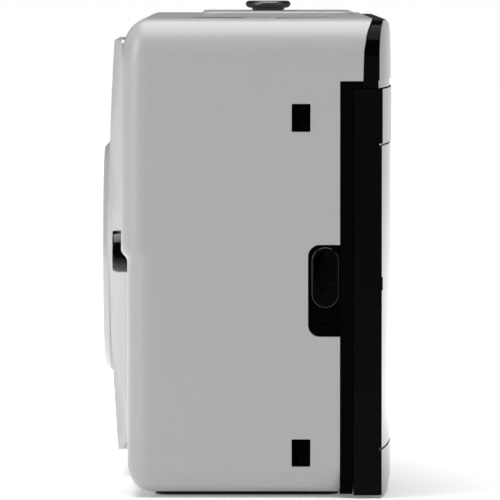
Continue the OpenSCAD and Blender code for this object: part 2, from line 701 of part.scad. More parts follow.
module film_door() color([0.05, 0.05, 0.05]) {
    difference() {
        union() {
            intersection() {
                difference() {
                    for (b = door_bands) along_z(b[0], b[1])
                        crowned(door_x0, half_w, door_rear + b[2], 0.75, door_rear - door_end);
                    block([door_x0 - 1, -40, door_lo + 1.5], [half_w - door_t, door_in, door_hi - 1.4]);
                    block([-80, -40, -5], [80, door_front, 80]);
                    // the grooves run on round the corner
                    for (b = door_bands) if (b[2] < 0)
                        block([half_w - 0.3, 17.1, b[0] + 0.1], [half_w + 1, 20, b[1] - 0.1]);
                }
                along_x(-80, 80) rounded([-30, door_lo], [door_rear + 0.1, 80], 2.3);
            }
            // hinge knuckle and the web to it
            rod_z(hinge_x, hinge_y, knuckle_lo, knuckle_hi, knuckle_r);
            block([hinge_x, hinge_y + 0.4, knuckle_lo], [door_x0 + 2, 18.3, knuckle_hi]);
            // catch tongues that reach into the chassis
            for (z = tongue_zs) block([51.9, 11.0, z], [53.3, door_in + 0.3, z + 4]);
            // locating ribs round the pressure plate
            for (z = [9.4, 46.6]) block([-20, 15.6, z], [20, door_in + 0.5, z + 1]);
        }
        rod_z(hinge_x, hinge_y, -1, door_hi + 1, pin_r + 0.05);
        // finger notch by the latch
        along_x(half_w - 1.2, half_w + 5) rounded([door_end - 0.5, 26.6], [door_end + 2, 28.3], 0.2);
    }
}

module hinge_pin() color([0.75, 0.75, 0.76]) rod_z(hinge_x, hinge_y, door_lo + 0.4, door_hi - 0.2, pin_r);

module pressure_plate() color([0.06, 0.06, 0.06]) difference() {
    along_y(film_y + 0.2, film_y + 0.9) rounded([-21, film_z - 17], [21, film_z + 17], 2);
    for (x = [-15:7.5:15], z = [-9, 9]) rod_y(x, film_y - 1, film_y + 3, film_z + z, 0.8);
}

// Bowed leaf: a shallow arc from both ends on the door to its middle on the plate
module leaf(x0, x1, z0, z1, y_low, y_high, t) {
    half = (x1 - x0) / 2;
    rise = y_high - y_low;
    r = (half * half + rise * rise) / (2 * rise);
    intersection() {
        difference() {
            translate([(x0 + x1) / 2, y_low + r, z0]) cylinder(r = r, h = z1 - z0, $fn = 240);
            translate([(x0 + x1) / 2, y_low + r, z0 - 1]) cylinder(r = r - t, h = z1 - z0 + 2, $fn = 240);
        }
        block([x0, y_low - 1, z0], [x1, y_high, z1]);
    }
}

module pressure_spring() color([0.7, 0.7, 0.7])
    leaf(-16, 16, film_z - 6, film_z + 6, film_y + 0.92, door_in - 0.02, 0.3);

module cassette_spring() color([0.7, 0.7, 0.7])
    leaf(33, 47, 22, 34, 15.7, door_in - 0.02, 0.3);

module door_pads() color([0.12, 0.12, 0.12]) {
    block([-49.8, 16.2, 6], [-46.8, door_in, 46]);
    block([26, 16.2, 10], [29, door_in, 44]);
}

// ---- Latch
module latch_knob() color([0.04, 0.04, 0.04]) {
    z0 = knob_top - knob_h;
    r = latch_w / 2;
    difference() {
        union() {
            along_x(plate_face + 0.05, half_w) {
                for (z = [z0 + r, knob_top - r]) translate([latch_y, z]) circle(r);
                translate([latch_y - r, z0 + r]) square([latch_w, knob_h - 2 * r]);
            }
            block([54.35, latch_y - 0.8, 25.6], [plate_face + 0.2, latch_y + 0.8, 30.0]);
            // skirt that keeps the slot dark wherever the knob stands
            block([54.45, latch_y - 1.3, 19.4], [55.25, latch_y + 1.3, 33.6]);
        }
        // thumb recess
        along_x(half_w - 0.25, half_w + 1)
            rounded([latch_y - r + 0.45, z0 + 3.2], [latch_y + r - 0.45, knob_top - 1.2], 0.4);
    }
    // arrow that shows which way the door opens
    along_x(half_w - 0.3, half_w - 0.08) translate([latch_y - 0.45, z0 + 4.05]) rotate(50)
        polygon([[0, 0], [0.75, 0.42], [0.75, 0.14], [2.5, 0.14],
                 [2.5, -0.14], [0.75, -0.14], [0.75, -0.42]]);
}

module latch_bar() color([0.78, 0.78, 0.78]) {
    difference() {
        block([53.65, 8.5, 14], [54.35, 12.0, 42]);
        for (z = [17.5, 38.5]) rod_x(53, 55, 10.2, z, 0.7);
    }
}

module latch_spring() color([0.75, 0.75, 0.75]) coil(54.4, 10.2, 8.05, 13.95, 0.7, 0.13, 7);

// ---- Shutter release
module shutter_button() color([0.35, 0.34, 0.33]) {
    r = button_d / 2;
    translate([button_x, button_y, 0]) rotate_extrude($fn = 64)
        polygon([[0, head_lo], [r - 0.5, head_lo], [r, head_lo + 0.35], [r, head_lo + 0.65],
                 [r - 0.25, head_hi - 0.12], [r - 0.8, head_hi], [r - 1.2, head_hi - 0.05],
                 [0, head_hi - 0.2]]);
}

module shutter_plunger() color([0.05, 0.05, 0.05]) {
    rod_z(button_x, button_y, bar_hi, head_lo, stem_r);
    rod_z(button_x, button_y, 58.4, 59.6, 2.0);
}

// Bar from the button's plunger to the shutter blade's short arm
module release_bar() color([0.78, 0.78, 0.78]) {
    block([button_x - 1.6, -12.2, bar_lo], [button_x + 1.6, button_y + 1.4, bar_hi]);
    block([button_x - 1.6, -12.2, bar_lo], [blade_x + 2.1, -11.6, bar_hi]);
    block([blade_x + 1.15, -12.2, blade_z + 0.75], [blade_x + 2.1, -11.6, bar_hi]);
    block([blade_x + 1.15, -12.2, blade_z + 0.75], [blade_x + 2.1, -11.3, blade_z + 1.6]);
}

module shutter_spring() color([0.8, 0.8, 0.8])
    coil(button_x, button_y, deck_hi + 0.02, bar_lo - 0.02, 1.1, 0.09, 3);

// ---- Film advance
module advance_wheel() color([0.05, 0.05, 0.05]) {
    n = 44;
    translate([spool_x, wheel_y, 0]) {
        along_z(wheel_lo, wheel_hi) polygon([for (i = [0:n - 1]) let (a = 360 / n)
            each [[wheel_r * cos(i * a - 0.22 * a), wheel_r * sin(i * a - 0.22 * a)],
                  [wheel_r * cos(i * a + 0.22 * a), wheel_r * sin(i * a + 0.22 * a)],
                  [(wheel_r - 0.45) * cos((i + 0.5) * a), (wheel_r - 0.45) * sin((i + 0.5) * a)]]]);
        translate([0, 0, deck_lo + 0.3]) cylinder(r = 1.2, h = wheel_lo - deck_lo);
    }
}

module wheel_gear() color([0.85, 0.85, 0.8]) difference() {
    translate([spool_x, wheel_y, 0]) along_z(gear_lo, gear_hi) gear(wheel_teeth, -90);
    rod_z(spool_x, wheel_y, 50, 60, 1.22);
}

module takeup_spool() color([0.06, 0.06, 0.06]) {
    difference() {
        rod_z(spool_x, chamber_y, 5.2, 51.2, spool_core_r);
        // slot that the film leader goes into
        block([spool_x - 10, chamber_y - 0.6, 12], [spool_x + 10, chamber_y + 0.6, 45]);
    }
    for (z = [[4.6, 5.4], [50.8, 51.6]]) rod_z(spool_x, chamber_y, z[0], z[1], 7.6);
    rod_z(spool_x, chamber_y, 3.4, 5.2, 1.5);
    rod_z(spool_x, chamber_y, 51.2, gear_hi - 0.1, 1.8);
    // ribs that grip the leader
    for (i = [0:7]) translate([spool_x, chamber_y, 0]) rotate(22.5 + 45 * i) {
        block([spool_core_r - 0.4, -0.3, 16], [spool_core_r + 0.4, 0.3, 41]);
    }
}

module spool_gear() color([0.85, 0.85, 0.8]) difference() {
    translate([spool_x, chamber_y, 0]) along_z(gear_lo, gear_hi) gear(spool_teeth, 100);
    rod_z(spool_x, chamber_y, 50, 60, 1.82);
}

module click_pawl() color([0.78, 0.78, 0.78]) {
    block([-53.2, 2.0, 55.9], [-52.9, 12.0, 58.6]);
    block([-53.2, 0.6, deck_hi], [-51.4, 2.0, 58.6]);
}

module sprocket_roller() color([0.07, 0.07, 0.07]) translate([sprocket_x, sprocket_y, 0]) {
    for (z = [11.4, 40.6]) translate([0, 0, z]) cylinder(r = sprocket_r - 0.1, h = 5);
    translate([0, 0, 16.4]) cylinder(r = 4.4, h = 24.2);
    translate([0, 0, 5.0]) cylinder(r = 1.2, h = 6.6);
    translate([0, 0, 45.4]) cylinder(r = 1.2, h = 12.6);
    for (i = [0:sprocket_teeth - 1], z = [14.0, 43.0]) rotate(360 / sprocket_teeth * i)
        block([sprocket_r - 0.3, -0.7, z - 0.55], [sprocket_r + 0.8, 0.7, z + 0.55]);
}

module counter_cam() color([0.85, 0.85, 0.8]) translate([sprocket_x, sprocket_y, 0]) difference() {
    union() {
        translate([0, 0, 56.4]) cylinder(r = 1.7, h = 1.5);
        block([0, -0.25, 56.4], [2.0, 0.25, 57.9]);
    }
    translate([0, 0, 50]) cylinder(r = 1.22, h = 12);
}

module counter_dial() color([0.92, 0.92, 0.9]) translate([dial_x, dial_y, 0]) {
    n = 40;
    along_z(57.6, 58.6) polygon([for (i = [0:n - 1]) let (a = 360 / n)
        each [[dial_r * cos(i * a), dial_r * sin(i * a)],
              [(dial_r - 0.4) * cos((i + 0.35) * a), (dial_r - 0.4) * sin((i + 0.35) * a)],
              [(dial_r - 0.4) * cos((i + 0.65) * a), (dial_r - 0.4) * sin((i + 0.65) * a)]]]);
    translate([0, 0, deck_hi - 1]) cylinder(r = 0.8, h = 6);
}

module counter_window() color([0.85, 0.92, 0.95, 0.4])
    along_z(60.3, 61.7) rounded([dial_x - 2.5, counter_y - 1.8], [dial_x + 2.5, counter_y + 1.8], 0.4);

// ---- Rewind crank
module rewind_hub() color([0.08, 0.08, 0.08]) {
    difference() {
        union() {
            rod_z(cassette_x, chamber_y, cup_floor + 0.15, crank_z - 0.65, crank_r);
            // the two ears that hold the crank's pin
            for (s = [-2.75, 2.75])
                block([crank_pivot_x - 1.0, chamber_y + s - 0.45, 59],
                      [crank_pivot_x + 1.0, chamber_y + s + 0.45, crank_z + 0.55]);
        }
        for (s = [-2.75, 2.75])
            rod_y(crank_pivot_x, chamber_y + s - 0.5, chamber_y + s + 0.5, crank_z, 0.42);
        // finger dip under the crank's end
        translate([cassette_x + 9.0, chamber_y, 61.4]) sphere(r = 3.2, $fn = 40);
    }
    rod_z(cassette_x, chamber_y, 49.0, cup_floor + 0.2, 2.0);
    // fork
    block([cassette_x - 0.5, chamber_y - 2.9, 45.8], [cassette_x + 0.5, chamber_y + 2.9, 49.4]);
}

module rewind_crank() color([0.7, 0.7, 0.7]) {
    difference() {
        union() {
            along_z(crank_z - 0.5, crank_z + 0.5)
                rounded([crank_pivot_x - 0.4, chamber_y - 2.1], [cassette_x + 6.2, chamber_y + 2.1], 0.8);
            rod_y(crank_pivot_x, chamber_y - 2.1, chamber_y + 2.1, crank_z, 0.6);
            rod_z(cassette_x + 4.0, chamber_y, crank_z - 0.5, crank_z + 0.6, 2.6);
        }
        along_z(0, far + 10)
            rounded([crank_pivot_x + 2.0, chamber_y - 0.9], [cassette_x + 0.2, chamber_y + 0.9], 0.5);
    }
    rod_y(crank_pivot_x, chamber_y - 3.15, chamber_y + 3.15, crank_z, 0.4);
}

module rewind_release() color([0.6, 0.6, 0.6]) {
    rod_z(sprocket_x, sprocket_y, 0.2, 2.3, 2.0);
    rod_z(sprocket_x, sprocket_y, 2.2, 2.7, 2.7);
    rod_z(sprocket_x, sprocket_y, 2.7, 3.6, 1.0);
}

front_shell();
lens_panel();
lens_ring();
lens_bezel();
lens_barrel();
front_lens();
rear_lens();
aperture_stop();
shutter_plate();
shutter_blade();
sync_contacts();
viewfinder_window();
viewfinder_tube();
eyepiece_lens();
flash_window();
flash_reflector();
flash_tube();
flash_board();
flash_capacitor();
flash_transformer();
flash_button();
ready_lamp();
battery();
battery_contact();
battery_spring();
battery_door();
battery_door_pin();
rear_body();
light_box();
rear_top_cover();
bottom_plate();
tripod_socket();
case_screws();
strap_bar();
light_seals();
film_door();
hinge_pin();
pressure_plate();
pressure_spring();
cassette_spring();
door_pads();
latch_knob();
latch_bar();
latch_spring();
shutter_button();
shutter_plunger();
release_bar();
shutter_spring();
advance_wheel();
wheel_gear();
takeup_spool();
spool_gear();
click_pawl();
sprocket_roller();
counter_cam();
counter_dial();
counter_window();
rewind_hub();
rewind_crank();
rewind_release();
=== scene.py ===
"""Looks for the compact 35 mm film camera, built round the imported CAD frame."""

import json
import math

import bmesh
import bpy
import numpy as np
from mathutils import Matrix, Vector


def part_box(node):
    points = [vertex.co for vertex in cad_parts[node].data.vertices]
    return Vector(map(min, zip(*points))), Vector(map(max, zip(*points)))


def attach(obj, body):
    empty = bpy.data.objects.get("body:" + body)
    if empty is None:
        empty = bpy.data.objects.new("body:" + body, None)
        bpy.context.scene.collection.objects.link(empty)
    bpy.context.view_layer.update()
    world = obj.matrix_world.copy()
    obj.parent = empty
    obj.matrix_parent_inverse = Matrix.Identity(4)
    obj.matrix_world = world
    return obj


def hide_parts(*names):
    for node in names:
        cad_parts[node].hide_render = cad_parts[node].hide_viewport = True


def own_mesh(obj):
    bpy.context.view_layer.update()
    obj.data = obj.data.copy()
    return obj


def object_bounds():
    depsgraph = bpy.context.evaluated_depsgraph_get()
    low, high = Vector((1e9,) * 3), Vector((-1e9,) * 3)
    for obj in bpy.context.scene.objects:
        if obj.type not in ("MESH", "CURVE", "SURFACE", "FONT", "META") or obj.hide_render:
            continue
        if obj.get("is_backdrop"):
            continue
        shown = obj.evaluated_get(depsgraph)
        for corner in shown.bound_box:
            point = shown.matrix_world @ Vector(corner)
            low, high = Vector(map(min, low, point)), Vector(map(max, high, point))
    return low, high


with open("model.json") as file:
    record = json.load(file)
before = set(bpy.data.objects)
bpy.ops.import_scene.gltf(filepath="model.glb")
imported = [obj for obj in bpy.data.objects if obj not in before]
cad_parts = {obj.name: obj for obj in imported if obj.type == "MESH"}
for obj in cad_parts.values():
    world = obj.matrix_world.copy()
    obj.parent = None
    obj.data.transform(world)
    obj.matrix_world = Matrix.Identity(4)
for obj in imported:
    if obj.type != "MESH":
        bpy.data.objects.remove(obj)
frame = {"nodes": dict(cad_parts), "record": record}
start_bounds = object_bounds()
MM = 0.001
nodes = frame["nodes"]
body_of = {n: b for b, ns in frame["record"]["behaviour"]["bodies"].items() for n in ns}
slot_of = {s["node"]: s["material_slot"] for s in frame["record"]["subparts"]}


# ---------------------------------------------------------------- materials
SMUDGE_SIZE = 14
MOTTLE_SIZE = 5


def material(name, color, rough, metal=0.0, grain=0.0, grain_size=0.3, mottle=0.06, streak=None, smudge=0.08,
             coat=0.0, coat_rough=0.1, spec=0.5, glass=0.0, ior=1.5, bump=0.3, polish=None):
    """Principled material whose colour, roughness and relief vary with procedural noise. Sizes are in mm.

    polish is (direction, from, to): faces gain a clear coat as they turn from one cosine to the other.
    """
    mat = bpy.data.materials.new(name)
    mat.use_nodes = True
    tree = mat.node_tree
    shader = tree.nodes["Principled BSDF"]
    link = tree.links.new
    put = tree.nodes.new
    sock = shader.inputs
    sock["Base Color"].default_value = (*color, 1)
    sock["Metallic"].default_value = metal
    sock["IOR"].default_value = ior
    sock["Specular IOR Level"].default_value = spec
    sock["Transmission Weight"].default_value = glass
    sock["Coat Weight"].default_value = coat
    sock["Coat Roughness"].default_value = coat_rough
    where = put("ShaderNodeTexCoord")
    place = put("ShaderNodeMapping")
    link(where.outputs["Object"], place.inputs["Vector"])
    if streak:
        place.inputs["Scale"].default_value = streak

    def noise(size, detail, source=place.outputs["Vector"]):
        n = put("ShaderNodeTexNoise")
        n.inputs["Scale"].default_value = 1 / (size * MM)
        n.inputs["Detail"].default_value = detail
        link(source, n.inputs["Vector"])
        return n.outputs["Fac"]

    def spread(value, low, high):
        r = put("ShaderNodeMapRange")
        r.inputs["From Min"].default_value = 0.3
        r.inputs["From Max"].default_value = 0.7
        r.inputs["To Min"].default_value = low
        r.inputs["To Max"].default_value = high
        link(value, r.inputs["Value"])
        return r.outputs["Result"]

    broad = noise(SMUDGE_SIZE, 3, where.outputs["Object"])
    link(spread(broad, max(0.02, rough - smudge / 2), rough + smudge / 2), sock["Roughness"])
    if mottle:
        mix = put("ShaderNodeMix")
        mix.data_type = "RGBA"
        mix.inputs["A"].default_value = (*[c * (1 - mottle) for c in color], 1)
        mix.inputs["B"].default_value = (*[min(1, c * (1 + mottle)) for c in color], 1)
        link(noise(MOTTLE_SIZE, 4), mix.inputs["Factor"])
        link(mix.outputs["Result"], sock["Base Color"])
    if polish:
        facing = put("ShaderNodeVectorMath")
        facing.operation = "DOT_PRODUCT"
        facing.inputs[1].default_value = polish[0]
        link(where.outputs["Normal"], facing.inputs[0])
        ramp = put("ShaderNodeMapRange")
        ramp.inputs["From Min"].default_value = polish[1]
        ramp.inputs["From Max"].default_value = polish[2]
        link(facing.outputs["Value"], ramp.inputs["Value"])
        link(ramp.outputs["Result"], sock["Coat Weight"])
    if grain:
        relief = put("ShaderNodeBump")
        relief.inputs["Strength"].default_value = bump
        relief.inputs["Distance"].default_value = grain * MM
        link(noise(grain_size, 2), relief.inputs["Height"])
        link(relief.outputs["Normal"], sock["Normal"])
    return mat


LOOKS = {
    "shell_plastic": dict(color=(0.405, 0.405, 0.401), rough=0.34, grain=0.012, grain_size=0.22,
                          mottle=0.012, smudge=0.06, coat=0.25, coat_rough=0.22),
    "trim_grey": dict(color=(0.46, 0.46, 0.455), rough=0.32, grain=0.012, grain_size=0.22, mottle=0.012,
                      smudge=0.06, coat=0.25, coat_rough=0.2),
    "ring_silver": dict(color=(0.5, 0.5, 0.495), rough=0.32, metal=0.2, grain=0.01, grain_size=0.2,
                        mottle=0.015, coat=0.3, coat_rough=0.15),
    "chassis_black": dict(color=(0.0016, 0.0016, 0.0017), rough=0.42, grain=0.02, grain_size=0.25,
                          mottle=0.12, spec=0.006),
    "cover_black": dict(color=(0.0011, 0.0011, 0.0012), rough=0.13, grain=0.004, grain_size=0.3,
                        mottle=0.12, smudge=0.04, spec=0.045, polish=((0, 1, 0), 0.6, 4.5)),
    "base_black": dict(color=(0.004, 0.004, 0.004), rough=0.5, grain=0.03, grain_size=0.28, mottle=0.12,
                       spec=0.25),
    "control_black": dict(color=(0.0016, 0.0016, 0.0017), rough=0.2, grain=0.005, grain_size=0.3,
                          mottle=0.12, spec=0.02, polish=((1, 0, 0), 0.97, 0.8)),
    "button_gunmetal": dict(color=(0.1, 0.095, 0.09), rough=0.3, metal=0.85, grain=0.01, grain_size=0.15,
                            mottle=0.08),
    "steel": dict(color=(0.62, 0.62, 0.63), rough=0.28, metal=1, grain=0.01, grain_size=0.12, mottle=0.06,
                  streak=(1, 1, 0.08)),
    "spring_steel": dict(color=(0.55, 0.55, 0.57), rough=0.3, metal=1, grain=0.008, grain_size=0.1,
                         mottle=0.08),
    "brass": dict(color=(0.72, 0.52, 0.22), rough=0.3, metal=1, grain=0.01, grain_size=0.14, mottle=0.1),
    "contact_bronze": dict(color=(0.62, 0.38, 0.17), rough=0.32, metal=1, grain=0.01, grain_size=0.14,
                           mottle=0.1),
    "nickel": dict(color=(0.68, 0.66, 0.62), rough=0.24, metal=1, grain=0.008, grain_size=0.14,
                   mottle=0.07),
    "gear_acetal": dict(color=(0.74, 0.74, 0.7), rough=0.45, grain=0.01, grain_size=0.3, mottle=0.03),
    "foam": dict(color=(0.012, 0.012, 0.013), rough=0.95, grain=0.25, grain_size=0.5, mottle=0.3,
                 bump=0.9, spec=0.1),
    "crank_grey": dict(color=(0.42, 0.42, 0.415), rough=0.32, grain=0.01, grain_size=0.22, mottle=0.03,
                       coat=0.2),
    "lens_glass": dict(color=(0.8, 0.86, 0.98), rough=0.03, glass=1.0, ior=1.6, mottle=0.0, smudge=0.02,
                       coat=0.4, coat_rough=0.03),
    "clear_window": dict(color=(0.93, 0.95, 0.96), rough=0.05, glass=0.95, ior=1.49, mottle=0.01,
                         smudge=0.03),
    "tube_glass": dict(color=(0.95, 0.96, 0.98), rough=0.06, glass=0.9, ior=1.47, mottle=0.01,
                       smudge=0.03),
    "reflector_foil": dict(color=(0.86, 0.86, 0.87), rough=0.16, metal=1, grain=0.03, grain_size=0.8,
                           mottle=0.03),
    "circuit_board": dict(color=(0.2, 0.11, 0.035), rough=0.5, grain=0.02, grain_size=0.5, mottle=0.15),
    "capacitor_sleeve": dict(color=(0.012, 0.012, 0.03), rough=0.25, grain=0.02, grain_size=2.0,
                             mottle=0.1, coat=0.4),
    "coil_tape": dict(color=(0.5, 0.27, 0.04), rough=0.3, grain=0.02, grain_size=0.6, mottle=0.12,
                      streak=(1, 1, 4)),
    "lamp_amber": dict(color=(0.85, 0.22, 0.02), rough=0.15, glass=0.5, ior=1.49, mottle=0.04),
    "battery_jacket": dict(color=(0.05, 0.05, 0.055), rough=0.28, metal=0.3, grain=0.006, grain_size=0.5,
                           mottle=0.08, coat=0.4),
    "dial_white": dict(color=(0.74, 0.74, 0.71), rough=0.45, grain=0.01, grain_size=0.3, mottle=0.03),
    "flash_ribbed": dict(color=(0.93, 0.95, 0.96), rough=0.08, glass=0.9, ior=1.49, grain=0.12,
                         grain_size=0.5, streak=(1, 0.02, 0.02), bump=0.8, mottle=0.01, smudge=0.03),
    "shutter_black": dict(color=(0.012, 0.012, 0.012), rough=0.5, metal=0.4, grain=0.01, grain_size=0.2,
                          mottle=0.15),
}
M = {name: material(name, **look) for name, look in LOOKS.items()}


def dress(obj, mat):
    obj.data.materials.clear()
    obj.data.materials.append(mat)
    obj.data.shade_smooth()
    return obj


def soften(obj, width, segments=2, angle=32):
    """Small rounded edges on a mesh: weld, bevel, then weight the normals by face area."""
    weld = obj.modifiers.new("weld", "WELD")
    weld.merge_threshold = 1e-6
    bevel = obj.modifiers.new("bevel", "BEVEL")
    bevel.width = width * MM
    bevel.segments = segments
    bevel.limit_method = "ANGLE"
    bevel.angle_limit = math.radians(angle)
    bevel.harden_normals = False
    bevel.use_clamp_overlap = True
    normal = obj.modifiers.new("normals", "WEIGHTED_NORMAL")
    normal.keep_sharp = True
    normal.weight = 80
    return obj


# ---------------------------------------------------------------- geometry helpers, all in mm
def new_object(name, mesh):
    obj = bpy.data.objects.new(name, mesh)
    bpy.context.scene.collection.objects.link(obj)
    return obj


def mesh_from(name, points, faces):
    mesh = bpy.data.meshes.new(name)
    mesh.from_pydata([tuple(c * MM for c in p) for p in points], [], faces)
    return new_object(name, mesh)


def prism(name, outline, axis, low, high):
    """Closed prism: a flat outline pushed along an axis from low to high."""
    order = {"x": (2, 0, 1), "y": (0, 2, 1), "z": (0, 1, 2)}[axis]
    n = len(outline)
    points = []
    for w in (low, high):
        for u, v in outline:
            points.append(tuple((u, v, w)[k] for k in order))
    faces = [tuple(range(n)), tuple(range(2 * n - 1, n - 1, -1))]
    faces += [(i, i + n, (i + 1) % n + n, (i + 1) % n) for i in range(n)]
    obj = mesh_from(name, points, faces)
    tidy_normals(obj)
    return obj


def tidy_normals(obj):
    bm = bmesh.new()
    bm.from_mesh(obj.data)
    bmesh.ops.recalc_face_normals(bm, faces=bm.faces)
    bm.to_mesh(obj.data)
    bm.free()


def circle(x, y, r, n=64):
    return [(x + r * math.cos(2 * math.pi * i / n), y + r * math.sin(2 * math.pi * i / n)) for i in range(n)]


def round_rect(low, high, r, n=6):
    out = []
    for cx, cy, start in ((high[0] - r, high[1] - r, 0), (low[0] + r, high[1] - r, 90),
                          (low[0] + r, low[1] + r, 180), (high[0] - r, low[1] + r, 270)):
        for i in range(n + 1):
            a = math.radians(start + 90 * i / n)
            out.append((cx + r * math.cos(a), cy + r * math.sin(a)))
    return out


def lathe(name, profile, centre, axis="z", steps=96):
    """Solid of revolution. profile is a list of (radius, height) from one end of the axis to the other."""
    points, faces, rings = [], [], []
    for r, h in profile:
        if r < 1e-6:
            rings.append([len(points)])
            points.append((0, 0, h))
        else:
            rings.append(list(range(len(points), len(points) + steps)))
            points += [(x, y, h) for x, y in circle(0, 0, r, steps)]
    for a, b in zip(rings, rings[1:]):
        for i in range(steps):
            j = (i + 1) % steps
            if len(a) == 1 and len(b) > 1:
                faces.append((a[0], b[j], b[i]))
            elif len(b) == 1 and len(a) > 1:
                faces.append((a[i], a[j], b[0]))
            elif len(a) > 1:
                faces.append((a[i], a[j], b[j], b[i]))
    turn = {"z": lambda p: p, "x": lambda p: (p[2], p[0], p[1]), "y": lambda p: (p[0], p[2], p[1])}[axis]
    obj = mesh_from(name, [tuple(c + o for c, o in zip(turn(p), centre)) for p in points], faces)
    tidy_normals(obj)
    return obj


def cut(obj, *tools, how="DIFFERENCE", solver="MANIFOLD"):
    """Booleans applied one after another. The tools are used up."""
    for tool in tools:
        mod = obj.modifiers.new("cut", "BOOLEAN")
        mod.operation = how
        mod.solver = solver
        mod.object = tool
        bpy.context.view_layer.update()
        done = bpy.data.meshes.new_from_object(obj.evaluated_get(bpy.context.evaluated_depsgraph_get()))
        obj.modifiers.remove(mod)
        old, obj.data = obj.data, done
        bpy.data.meshes.remove(old)
        bpy.data.objects.remove(tool)
    return obj


def finish_piece(obj, name, node, angle=28):
    """Smooth shading with sharp creases, the material of the CAD node obj stands for, and its body."""
    obj.name = name
    dress(obj, M[slot_of[node]])
    obj.data.set_sharp_from_angle(angle=math.radians(angle))
    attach(obj, body_of[node])
    return obj


def rounded_box(name, low, high, r_base, r_top, z_lines, warp, corner=9, x_lines=24):
    """Box with ellipsoidal corners: r_base and r_top are the corner radii along x, y and z at its ends."""
    edge = [math.tan(math.radians(45 * k / corner)) for k in range(corner + 1)]
    ends = [(-1, 0.0, -t) for t in reversed(edge)], [(1, 1.0, t) for t in edge]
    lines = []
    for mids in (np.linspace(0, 1, x_lines + 2)[1:-1], np.linspace(0, 1, 6)[1:-1],
                 [(z - low[2] - r_base[2]) / (high[2] - low[2] - r_base[2] - r_top[2]) for z in z_lines]):
        lines.append(ends[0] + [(0, float(f), 0.0) for f in mids] + ends[1])
    count = [len(v) for v in lines]

    def place(index):
        side = [lines[k][index[k]] for k in range(3)]
        f = side[2][1]
        r = [r_base[k] * (1 - f) + r_top[k] * f for k in range(2)]
        r.append(r_top[2] if side[2][0] > 0 else r_base[2])
        core = [low[k] + r[k] + side[k][1] * (high[k] - low[k] - 2 * r[k]) for k in range(2)]
        core.append(low[2] + r_base[2] + f * (high[2] - low[2] - r_base[2] - r_top[2]))
        d = [s[2] for s in side]
        size = math.sqrt(sum(c * c for c in d)) or 1.0
        return warp([core[k] + r[k] * d[k] / size for k in range(3)])

    ids, points, faces = {}, [], []

    def vert(*index):
        if index not in ids:
            ids[index] = len(points)
            points.append(place(index))
        return ids[index]

    for k in range(3):
        a, b = (k + 1) % 3, (k + 2) % 3
        for end in (0, count[k] - 1):
            for i in range(count[a] - 1):
                for j in range(count[b] - 1):
                    quad = []
                    for u, v in ((i, j), (i + 1, j), (i + 1, j + 1), (i, j + 1)):
                        index = [0, 0, 0]
                        index[k], index[a], index[b] = end, u, v
                        quad.append(vert(*index))
                    faces.append(quad)
    obj = mesh_from(name, points, faces)
    tidy_normals(obj)
    return obj


# ---------------------------------------------------------------- grey front shell
def at(node):
    """Corners of a CAD node in mm."""
    return [tuple(c / MM for c in corner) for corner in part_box(node)]


shell_lo, shell_hi = at("front_shell")
SHELL_BASE = 0.6
SHELL_TOP = 61.4
SHELL_REAR = 12.34
WALL = 1.5
BASE_RADII = (2.9, 3.1, 3.9)
TOP_RADII = (3.6, 3.6, 5.4)
STEP = (30.3, 31.7)
STEP_DEPTH = 0.8


def front_step(p):
    """The lower front face stands back behind the upper one, with a sloped step between them."""
    x, y, z = p
    t = min(1.0, max(0.0, (STEP[1] - z) / (STEP[1] - STEP[0])))
    t = t * t * (3 - 2 * t)
    w = min(1.0, max(0.0, (2 - y) / 14))
    return (x, y + STEP_DEPTH * t * w, z)


step_lines = [14, 22, 28, 29.6] + list(np.linspace(STEP[0], STEP[1], 7)) + [32.4, 34, 40, 48]


def shell_skin(name, inset):
    """Solid of the shell's outside, moved inwards by inset. It runs past the shell's rear edge."""
    half = shell_hi[0] - inset
    low = (-half, shell_lo[1] + inset, SHELL_BASE + inset)
    high = (half, 34, SHELL_TOP - inset)
    radii = [[max(0.4, r - inset) for r in ends] for ends in (BASE_RADII, TOP_RADII)]
    return rounded_box(name, low, high, *radii, step_lines, front_step)


def mid(node):
    low, high = at(node)
    return [(a + b) / 2 for a, b in zip(low, high)]


crank_x, crank_y, _ = mid("rewind_hub")
button_x, button_y, _ = mid("shutter_button")
count_x, count_y, _ = mid("counter_window")
release_x, release_y, _ = mid("rewind_release")
flash_x, _, flash_z = mid("flash_window")
finder_x, _, finder_z = mid("viewfinder_window")
switch_x, _, switch_z = mid("flash_button")
ring_lo, ring_hi = at("lens_ring")
lens_z = (ring_lo[2] + ring_hi[2]) / 2

inner = shell_skin("inner", WALL)
cut(inner, prism("a", circle(crank_x, crank_y, 10.5), "z", 57.4, 70),
    prism("b", [(-70, -13.2), (-53, -13.2), (-53, -5.4), (-70, -5.4)], "z", 41.4, 51.6))
shell = shell_skin("shell", 0)
cut(shell, inner)
pad = prism("pad", round_rect((-51.5, -5.9), (-11.5, 15.2), 2.2, 10), "z", 61.0, 61.8)
bm = bmesh.new()
bm.from_mesh(pad.data)
top_edges = [e for e in bm.edges if all(v.co.z > 61.7 * MM for v in e.verts)]
bmesh.ops.bevel(bm, geom=top_edges, offset=0.3 * MM, segments=4, profile=0.5, affect="EDGES")
bm.to_mesh(pad.data)
bm.free()
cut(shell, pad, how="UNION")
# everything behind the rear edge, which stands back at the rear top cover
behind = [(SHELL_REAR, -9), (SHELL_REAR, 53.4), (15.3, 53.4), (15.4, 57.2), (15.8, 59.6), (16.5, 61.4),
          (16.7, 80), (60, 80), (60, -9)]
cut(shell, prism("rear", behind, "x", -80, 80))
window_y = (6.15, 8.56)
for side in (-1, 1):
    for z0, z1 in ((3.95, 7.5), (46.9, 50.5)):
        cut(shell, prism("w", round_rect((window_y[0], z0), (window_y[1], z1), 0.15, 3), "x",
                         min(side * 53, side * 60), max(side * 53, side * 60)))


def hole(x, y, r, axis, low, high, n=64):
    return prism("hole", circle(x, y, r, n), axis, low, high)


